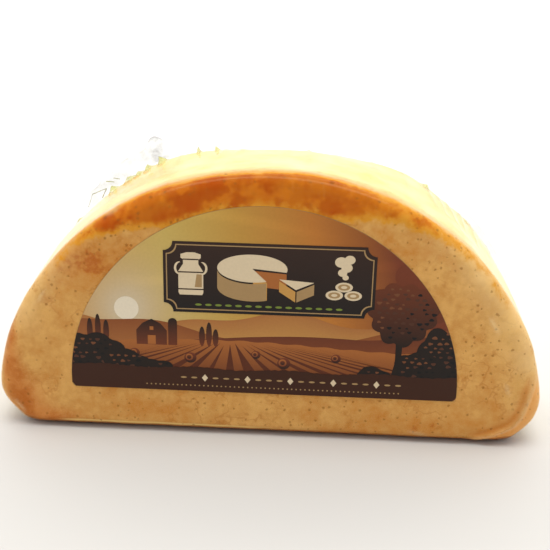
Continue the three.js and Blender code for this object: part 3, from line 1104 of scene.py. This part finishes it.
def print_sky(sheet):
    """Evening sky, olive to amber, with a glow round the low sun."""
    columns, rows = 120, 60
    across = np.sin(np.linspace(-math.pi / 2, math.pi / 2, columns)) * PRINT_HALF_WIDTH
    u = np.tile(across, rows)
    v = lerp(label_foot(u), label_top(u), np.repeat(np.linspace(0, 1, rows), columns))
    colours = np.array([ink(colour) for colour in SKY_STOPS.values()])
    leaning = u + 0.25 * (v - 40)
    inks = np.stack([np.interp(leaning, list(SKY_STOPS), channel) for channel in colours.T], axis=1)
    streaks = ease((np.sin(v / 2.3 + 1.4 * np.sin(u / 21)) - 0.2) / 0.8)
    streaks = streaks * ease((np.sin(u / 17 + v / 5) + 0.5) / 1.2) * ease((v - 34) / 10)
    inks = inks * (1 + 0.1 * streaks)[:, None]
    from_sun = np.hypot(u - SUN_PLACE[0], v - SUN_PLACE[1])
    glow = np.exp(-((from_sun / 15) ** 1.3))[:, None]
    inks = lerp(inks, ink(GLOW), glow)
    sheet.add(np.stack([u, v], axis=1), grid_faces(rows, columns), inks, 0)


def skyline(level, *waves):
    """A profile of the land: a level with waves, each with its height, length and phase."""
    def height(u):
        return level + 0 * u + sum(most * np.sin(u / length + phase) for most, length, phase in waves)

    return height


def near_hills(u):
    return 24 + 3 * np.sin(u / 31 + 0.9) + 5.5 * ease((u - 38) / 40)


def band_edge(u):
    return 10.6 + 0.5 * np.sin(u / 6.3) + 0.45 * np.abs(np.sin(u / 1.3 + np.sin(u / 5)))


# From the farthest hills to the field: the foot, the skyline, and the colours of top and foot
LANDS = [
    (20, skyline(33, (3.5, 19, 1.2), (1.5, 7.1, 0)), FAR_HILL, SUNSET),
    (16, skyline(28.5, (4.2, 24, 4.4), (1.1, 8.3, 0.5)), MIDDLE_HILL, FAR_HILL),
    (12, near_hills, NEAR_HILL, MIDDLE_HILL),
    (6, skyline(22.5, (1.6, 27, 2.2), (0.25, 1.9, 0)), FIELD_LIGHT, FIELD_DARK),
]


def print_land(sheet):
    sheet.area(oval(*SUN_PLACE, 5.2, 5.2, 40), 1, SUN)
    for layer, (foot, top, upper, lower) in enumerate(LANDS, start=2):
        sheet.land(skyline(foot), top, layer, upper, lower)
    vanishing = np.array([-14.0, 27.0])
    for k in range(-13, 17):
        near = np.array([-14 + k * 9.5, 8.0])
        far = lerp(near, vanishing, 0.76 + 0.03 * math.sin(k * 2.1))
        half = (2.1 + 0.8 * math.sin(k * 1.7), 0)
        sheet.area([far, near - half, near + half], 6, FURROW)
    sheet.land(label_foot, band_edge, 16, BAND, BAND)


def print_farm(sheet):
    """A barn with a silo, poplars along the lane, and round hay bales."""
    barn = [(-54, 21), (-41, 21), (-41, 27.5), (-43.6, 30.6), (-47.5, 32.6), (-51.4, 30.6), (-54, 27.5)]
    silo = [(-40.4, 21), (-36.6, 21), (-36.6, 31.6), *oval(-38.5, 31.6, 1.9, 1.7, 9, 0, math.pi)]
    for building in (barn, silo):
        sheet.area(building, 7, SHADE, NEAR_HILL)
    for opening in (box(-49.2, 21.2, -45.8, 25.2), box(-48.3, 27.6, -46.7, 29.2)):
        sheet.area(opening, 8, FIELD_LIGHT)
    for u, height in ((-74, 11), (-70.5, 13), (-67, 10.5), (-26, 9), (-23, 11), (-20.2, 8)):
        sheet.area(oval(u, 21 + height / 2, 1.25, height / 2, 18), 7, SHADE, NEAR_HILL)
    for u, v, size in ((-31, 15.6, 2.6), (-3, 18, 2.0), (9, 14.5, 2.8), (31, 17.6, 2.1), (-55, 17, 2.2)):
        sheet.area(oval(u, v, size, size * 0.92), 7, MAROON, SHADE)
        sheet.area(oval(u - 0.2 * size, v + 0.1 * size, size * 0.62, size * 0.6), 8, FIELD_LIGHT, MAROON)
        sheet.area(oval(u - 0.2 * size, v + 0.1 * size, size * 0.36, size * 0.34), 9, NEAR_HILL, SHADE)


def print_leaves(sheet, u, v, half_width, half_height, layer, seed):
    """Rows of small tufts inside an oval, the lit ones towards the sun, clear of each other."""
    draw = random.Random(seed)
    step_u, step_v = 3.3, 2.1
    for row in range(-int(half_height / step_v), int(half_height / step_v) + 1):
        for column in range(-int(half_width / step_u), int(half_width / step_u) + 1):
            at_u = (column + 0.5 * (row % 2)) * step_u + draw.uniform(-0.5, 0.5)
            at_v = row * step_v + draw.uniform(-0.3, 0.3)
            size = draw.uniform(0.45, 0.9)
            across, up = at_u / half_width, at_v / half_height
            lit = 0.5 * (up - across) + draw.uniform(-0.35, 0.35)
            tone = LEAF_LIT if lit > 0.35 else LEAF_DULL if lit > -0.1 else LEAF_DARK
            if math.hypot(across, up) < 0.95 and draw.random() < 0.8:
                outline = bumpy(u + at_u, v + at_v, size * 1.25, size * 0.75, 3, 0.2, draw.uniform(0, 3))
                sheet.area(outline, layer, tone)


def print_trees(sheet):
    """A broad tree on the right, and hedges in both lower corners."""
    sheet.area(bumpy(70, 50, 17, 14, 8, 0.1, 0.7), 5.5, MAROON, NEAR_HILL)
    trunk = [(54.6, 11), (59.6, 11), (58.4, 18), (58.6, 26), (60.5, 32), (54, 32), (55.8, 25), (55.9, 17)]
    sheet.area(trunk, 8, SHADE)
    sheet.area(bumpy(58, 39, 14.5, 13.5, 11, 0.14, 0.3), 9, NEAR_HILL, SHADE)
    print_leaves(sheet, 58, 39, 13.5, 12.5, 10, 4)
    bushes = [
        (-74, 14, 14, 12, 7, 0.2),
        (-59, 11, 10, 7.5, 5, 1.1),
        (-46, 10, 7, 4.4, 4, 0.4),
        (77, 18, 12, 15, 7, 0.9),
        (66, 13, 10, 9.5, 6, 0.1),
        (47, 10, 7, 4.6, 4, 1.4),
    ]
    for k, (u, v, half_width, half_height, bumps, turn) in enumerate(bushes):
        layer = 11 + 0.8 * k
        sheet.area(bumpy(u, v, half_width, half_height, bumps, 0.16, turn), layer, SHADE, CHARCOAL)
        print_leaves(sheet, u, v, half_width * 0.92, half_height * 0.92, layer + 0.4, bumps)


PANEL = {"left": -42, "right": 46, "low": 36.3, "high": 67, "notch": 4}


def panel_outline(inset):
    """A plaque with a round notch in each corner."""
    left, right = PANEL["left"] + inset, PANEL["right"] - inset
    low, high = PANEL["low"] + inset, PANEL["high"] - inset
    points = []
    for u, v, start in ((right, low, 0.5), (right, high, 1.0), (left, high, 1.5), (left, low, 0.0)):
        notch = oval(u, v, PANEL["notch"], PANEL["notch"], 9, start * math.pi, (start + 0.5) * math.pi)
        points.extend(notch[::-1])
    return np.array(points)


def print_panel(sheet):
    """A dark plaque with a milk churn, a cheese wheel, and logs that smoke."""
    sheet.area(panel_outline(0), 10.6, PLAQUE_TOP, CHARCOAL)
    outer, inner = panel_outline(1.2), panel_outline(1.65)
    sheet.strip(np.vstack([outer, outer[:1]]), np.vstack([inner, inner[:1]]), 11.5, PRINT_TAN)
    print_churn(sheet, (-30.5, 44))
    print_cheese(sheet, (-5, 56.3))
    print_smoking_logs(sheet, (33, 44))
    for k in range(15):
        sheet.area(oval(-27.4 + k * 4.2, 39.8, 1.4, 0.5, 14), 12, OLIVE_GREEN)


def print_churn(sheet, place):
    half = [(4.7, 0), (5.2, 1), (5.2, 10.2), (3.2, 13.4), (3.2, 15.4), (4.2, 16), (4.2, 17.6), (1.6, 18.4)]
    sheet.area(half + [(-out, up) for out, up in half[::-1]], 12, PRINT_CREAM, at=place)
    for up, out in ((2.2, 5.3), (9.6, 5.3), (15.1, 3.3)):
        sheet.area(box(-out, up, out, up + 0.55), 13, PLAQUE_TOP, at=place)
    sheet.area([(1.6, 3.4), (4.6, 3.4), (4.6, 9), (2.4, 9)], 13, PRINT_TAN, at=place)
    turn = np.linspace(-0.5 * math.pi, 0.5 * math.pi, 14)
    for side in (-1, 1):
        handle = np.stack([side * (4.4 + 2.1 * np.cos(turn)), 11.6 + 2.6 * np.sin(turn)], axis=1)
        sheet.stroke(handle[::side] + place, 0.95, 14, PRINT_CREAM)


def print_smoking_logs(sheet, place):
    log_rings = ((3.6, 2.1, 26, PRINT_CREAM), (2.5, 1.35, 22, PRINT_TAN), (1.3, 0.65, 16, PRINT_CREAM))
    for number, (u, v) in enumerate(((-3.9, 2), (3.9, 2), (0, 5.6))):
        for layer, (half_width, half_height, steps, colour) in enumerate(log_rings, start=12):
            ring = oval(u, v, half_width, half_height, steps)
            sheet.area(ring, layer + 0.3 * number, colour, at=place)
    puffs = ((0.4, 9.8, 1.3), (-0.9, 11.8, 1.9), (0.8, 14.0, 2.3), (-1.6, 16.3, 2.6), (1.9, 17.4, 2.2))
    for number, (u, v, size) in enumerate(puffs):
        sheet.area(oval(u, v, size, size * 0.86, 22), 12 + 0.3 * number, PRINT_CREAM, at=place)


def print_cheese(sheet, place):
    """A wheel with a slice taken out, seen from above its edge, and the slice beside it."""
    width, depth, height = 14.5, 6, 7.6
    opening = (math.radians(-66), math.radians(-12))
    rim = oval(0, 0, width, depth, 46, opening[1], opening[0] + 2 * math.pi)
    (far_u, far_v), (near_u, near_v) = rim[0], rim[-1]
    sheet.area([(0, 0), *rim], 14, PRINT_CREAM, at=place)
    wall = oval(0, -0.7, width, depth, 30, math.pi, 2 * math.pi + opening[0]) + place
    sheet.strip(wall - (0, height), wall, 13, PRINT_TAN)
    back_wall = [(0.4, -0.9), (0.4, -height), (far_u, far_v - height), (far_u, far_v - 0.7)]
    sheet.area(back_wall, 12, FIELD_LIGHT, at=place)
    cut_u, cut_v = near_u + 0.3, near_v - 0.7
    cut = [(cut_u, cut_v), (cut_u, cut_v - height), (0.4, -height - 0.7), (0.4, -0.9)]
    sheet.area(cut, 12.5, SUNSET, at=place)
    beside = (place[0] + 11.2, place[1] - 4.2)
    sheet.area([(0, 0), (7, -4.4), (14.5, -1)], 15.5, PRINT_CREAM, at=beside)
    sheet.area([(0, -0.8), (0, -5.4), (6.8, -9.8), (6.8, -5.2)], 15.5, SUNSET, at=beside)
    sheet.area([(7.3, -5.2), (7.3, -9.8), (14.5, -6.4), (14.5, -1.8)], 15.5, PRINT_TAN, at=beside)


def print_trim(sheet):
    """Ornament on the band along the label's straight side."""
    for k in range(21):
        u = -34 + k * 4.6
        if k % 4 == 2:
            sheet.area(diamond(u, 6.4, 1.3, 1.7), 17, PRINT_CREAM)
        else:
            sheet.area(oval(u, 6.4, 1.3, 0.42, 14), 17, PRINT_TAN)
    for k in range(58):
        sheet.area(oval(-50 + k * 1.9, 2.7, 0.34, 0.34, 8), 17, PRINT_TAN)


def printed_paper():
    """Satin print: the colours come with the points."""
    g = Graph("printed_paper")
    colour = g.node("ShaderNodeAttribute", attribute_name="ink").outputs["Color"]
    grain = g.range(g.noise(1.1, 2, shift=0.3), 0.3, 0.7, 0.98, 1.02)
    shade = g.node("ShaderNodeCombineColor", {0: grain, 1: grain, 2: grain}).outputs[0]
    return g.finish(
        Base_Color=g.mix(1.0, colour, shade, "MULTIPLY"),
        Roughness=g.range(g.noise(20, 2, shift=0.6), 0.3, 0.7, 0.3, 0.4),
        Specular_IOR_Level=0.25,
        Normal=g.bump(g.noise(16, 3, 0.5, shift=2.1), 0.25, 0.5),
    )


def label_paper():
    g = Graph("label_paper")
    tone = g.mix(g.noise(3, 2), linear(150, 118, 78) + (1,), linear(164, 130, 88) + (1,))
    return g.finish(Base_Color=tone, Roughness=0.5, Specular_IOR_Level=0.2)


def add_label():
    """A thin sheet with a soft edge, and the print on its front."""
    corners = {"left": LABEL_CORNER_RADIUS, "right": LABEL_CORNER_RADIUS}
    steps = {"arc": 200, "corner": 12, "flat": 60}
    p = Outline(LABEL_WIDTH, LABEL_HEIGHT, LABEL_ARC_CENTRE_HEIGHT, corners, steps)
    back_y = FRONT_Y - 0.1
    # How far each ring lies inside the edge, and its y
    rings = [(0, back_y), (0, SHEET_FRONT_Y + 0.07), (0.02, SHEET_FRONT_Y + 0.02), (0.07, SHEET_FRONT_Y)]
    middle_x, middle_z = LABEL_SHIFT, LABEL_LEVEL + LABEL_HEIGHT / 2
    places = [[(middle_x, back_y, middle_z)]]
    for inset, y in rings:
        x, z = p.x - p.nx * inset + LABEL_SHIFT, p.z - p.nz * inset + LABEL_LEVEL
        places.append(np.stack([x, np.full(p.count, y), z], axis=1))
    places.append([(middle_x, SHEET_FRONT_Y, middle_z)])
    faces = ring_faces(len(rings), p.count, True, True)
    paper = add_piece("label_sheet", np.concatenate(places), faces, label_paper(), flat=True)
    sheet = Print()
    for print_part in (print_sky, print_land, print_farm, print_trees, print_panel, print_trim):
        print_part(sheet)
    printed = add_piece("label_print", sheet.points, sheet.faces, printed_paper(), flat=True)
    inks = printed.data.attributes.new("ink", "FLOAT_COLOR", "POINT")
    inks.data.foreach_set("color", np.hstack([sheet.inks, np.ones((len(sheet.inks), 1))]).ravel())
    for piece in (paper, printed):
        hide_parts("label")


# ---------------------------------------------------------------- surroundings


SURROUND = {"front_low": 0.28, "front_high": 1.0, "back": 1.1}
CEILING = {"azimuth": 12, "elevation": 84, "spread": 34, "strength": 1.6}  # the angles in degrees
# Softboxes: metres and watts
TOP_LIGHT = {"place": (0.08, 0.42, 0.52), "aim": (0, 0, 0.06), "size": (0.6, 0.4), "power": 1.6}
FLOOR_LIGHT = {"place": (0, 0.8, 0.7), "aim": (0, 0.85, 0), "size": (1.8, 1.0), "power": 8}
FLOOR_SIZE = 16


def add_floor():
    bpy.ops.mesh.primitive_plane_add(size=FLOOR_SIZE)
    floor = bpy.context.object
    floor.name = "floor"
    floor.data.materials.append(pale_floor())
    return floor


def add_sky():
    """A soft white surround, brightest behind the pack and dim low down in front."""
    g = Graph("surround", bpy.data.worlds)
    direction = g.node("ShaderNodeSeparateXYZ", {"Vector": g.coordinates["Generated"]}).outputs
    behind = g.range(direction["Y"], -0.45, 0.35)
    in_front = g.range(direction["Z"], 0.05, 0.75, SURROUND["front_low"], SURROUND["front_high"])
    inputs = {"Factor": behind, "A": in_front, "B": SURROUND["back"]}
    strength = g.node("ShaderNodeMix", inputs).outputs["Result"]
    light = g.node("ShaderNodeBackground", {"Color": (1, 1, 1, 1), "Strength": strength})
    g.node("ShaderNodeOutputWorld", {"Surface": light.outputs[0]})
    bpy.context.scene.world = g.owner


def add_ceiling_light(azimuth, elevation, spread, strength):
    """Soft light from high up in front, like a bright ceiling."""
    data = bpy.data.lights.new("ceiling", "SUN")
    data.angle = math.radians(spread)
    data.energy = strength
    lamp = bpy.data.objects.new("ceiling", data)
    tip = Matrix.Rotation(math.radians(90 - elevation), 4, "X")
    lamp.matrix_world = Matrix.Rotation(math.radians(azimuth), 4, "Z") @ tip
    lamp.visible_glossy = False
    bpy.context.scene.collection.objects.link(lamp)


def add_softbox(name, pieces, place, aim, size, power):
    """A soft light on these pieces alone, which isn't mirrored in them."""
    data = bpy.data.lights.new(name, "AREA")
    data.shape = "RECTANGLE"
    data.size, data.size_y = size
    data.energy = power
    data.color = (1.0, 0.99, 0.97)
    lamp = bpy.data.objects.new(name, data)
    turn = (Vector(aim) - Vector(place)).to_track_quat("-Z", "Y").to_matrix().to_4x4()
    lamp.matrix_world = Matrix.Translation(place) @ turn
    bpy.context.scene.collection.objects.link(lamp)
    lit = bpy.data.collections.new("lit_by_" + name)
    for piece in pieces:
        lit.objects.link(piece)
    lamp.light_linking.receiver_collection = lit
    lamp.visible_glossy = False


bpy.context.scene.view_settings.view_transform = "Standard"
add_camera()
floor = add_floor()
add_sky()
add_cheese()
add_tight_film()
add_back_film()
add_pleats()
add_label()
add_ceiling_light(**CEILING)
pack_pieces = [piece for piece in bpy.data.objects if piece.type == "MESH" and piece is not floor]
add_softbox("top_light", pack_pieces, **TOP_LIGHT)
add_softbox("floor_light", [floor], **FLOOR_LIGHT)
